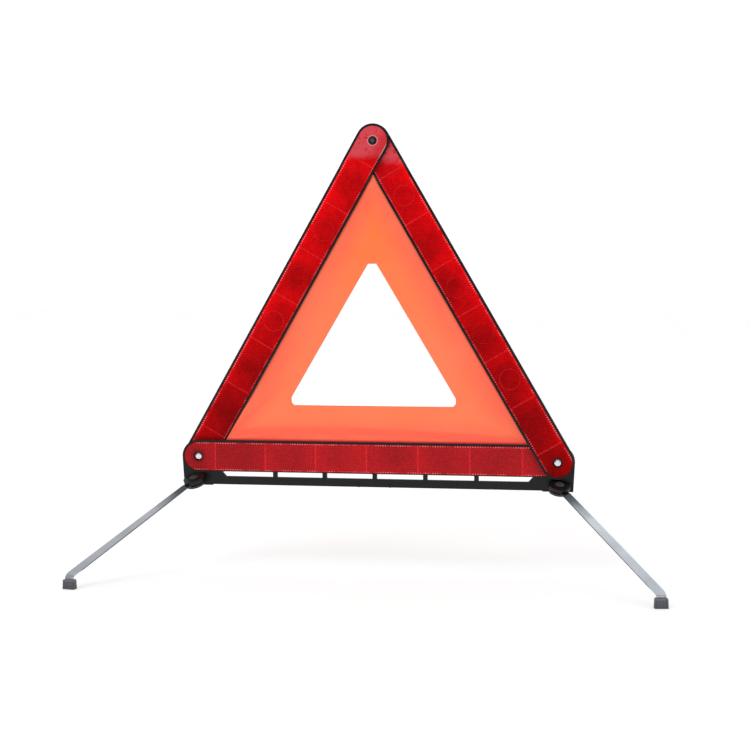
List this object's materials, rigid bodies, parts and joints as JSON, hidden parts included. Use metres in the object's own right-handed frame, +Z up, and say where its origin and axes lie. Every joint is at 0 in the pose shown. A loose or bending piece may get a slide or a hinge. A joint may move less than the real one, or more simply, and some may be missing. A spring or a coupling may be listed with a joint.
{
  "type": "warning triangle",
  "caption": "Folding roadside warning triangle: reflector bars round a soft fluorescent panel, slotted base rail and bent steel legs with feet.",
  "frame": {"origin": "on the ground, in the middle of the footprint, 47.8 mm in front of the base bar's middle plane", "axes": "+X to the right as seen from the front, -Y towards the viewer, +Z up"},
  "size_m": [0.6204, 0.1561, 0.4841],
  "materials": {
    "black_plastic": "moulded, fine grain, satin",
    "red_lens": "clear red acrylic over a prismatic reflector",
    "fluorescent_fabric": "coated woven cloth, fluorescent orange-red",
    "bright_steel": "plated, bright",
    "spring_steel": "rolled strip, plated",
    "foot_rubber": "dark grey moulded",
    "grey_nylon": "moulded nylon"
  },
  "bodies": {
    "base": {"base_frame": "black_plastic", "base_reflector": "red_lens", "fluorescent_sheet": "fluorescent_fabric", "left_corner_rivet": "bright_steel", "right_corner_rivet": "bright_steel", "left_corner_spacer": "grey_nylon", "right_corner_spacer": "grey_nylon", "left_front_leg_pin": "black_plastic", "right_front_leg_pin": "black_plastic", "left_rear_leg_pin": "black_plastic", "right_rear_leg_pin": "black_plastic", "left_front_leg_plate": "black_plastic", "right_front_leg_plate": "black_plastic", "left_rear_leg_plate": "black_plastic", "right_rear_leg_plate": "black_plastic"},
    "left_arm": {"left_arm_frame": "black_plastic", "left_arm_reflector": "red_lens", "apex_grommet": "black_plastic"},
    "right_arm": {"right_arm_frame": "black_plastic", "right_arm_reflector": "red_lens", "apex_stud": "grey_nylon"},
    "left_front_leg": {"left_front_leg": "spring_steel", "left_front_foot": "foot_rubber"},
    "right_front_leg": {"right_front_leg": "spring_steel", "right_front_foot": "foot_rubber"},
    "left_rear_leg": {"left_rear_leg": "spring_steel", "left_rear_foot": "foot_rubber"},
    "right_rear_leg": {"right_rear_leg": "spring_steel", "right_rear_foot": "foot_rubber"}
  },
  "joints": [
    {"name": "right_arm_fold", "type": "hinge", "parent": "base", "child": "right_arm", "pos_m": [0.197, 0.04138, 0.125], "axis": [0, 0.9999, -0.0155], "range_deg": [-60, 0], "deforming": ["fluorescent_sheet"]},
    {"name": "left_arm_fold", "type": "hinge", "parent": "base", "child": "left_arm", "pos_m": [-0.197, 0.05422, 0.125], "axis": [0, 0.9999, 0.0155], "range_deg": [0, 60]},
    {"name": "left_front_leg_swing", "type": "hinge", "parent": "base", "child": "left_front_leg", "pos_m": [-0.199, 0.035, 0.1006], "axis": [-0.1629, -0.3235, 0.9321], "range_deg": [0, 128]},
    {"name": "right_front_leg_swing", "type": "hinge", "parent": "base", "child": "right_front_leg", "pos_m": [0.199, 0.035, 0.1006], "axis": [0.1629, -0.3235, 0.9321], "range_deg": [-128, 0]},
    {"name": "left_rear_leg_swing", "type": "hinge", "parent": "base", "child": "left_rear_leg", "pos_m": [-0.199, 0.0663, 0.1004], "axis": [-0.3792, 0.1517, 0.9128], "range_deg": [0, 137]},
    {"name": "right_rear_leg_swing", "type": "hinge", "parent": "base", "child": "right_rear_leg", "pos_m": [0.199, 0.0663, 0.1004], "axis": [0.3792, 0.1517, 0.9128], "range_deg": [-137, 0]}
  ],
  "couplings": [
    {"joint": "left_arm_fold", "follows": "right_arm_fold", "ratio": -1}
  ]
}
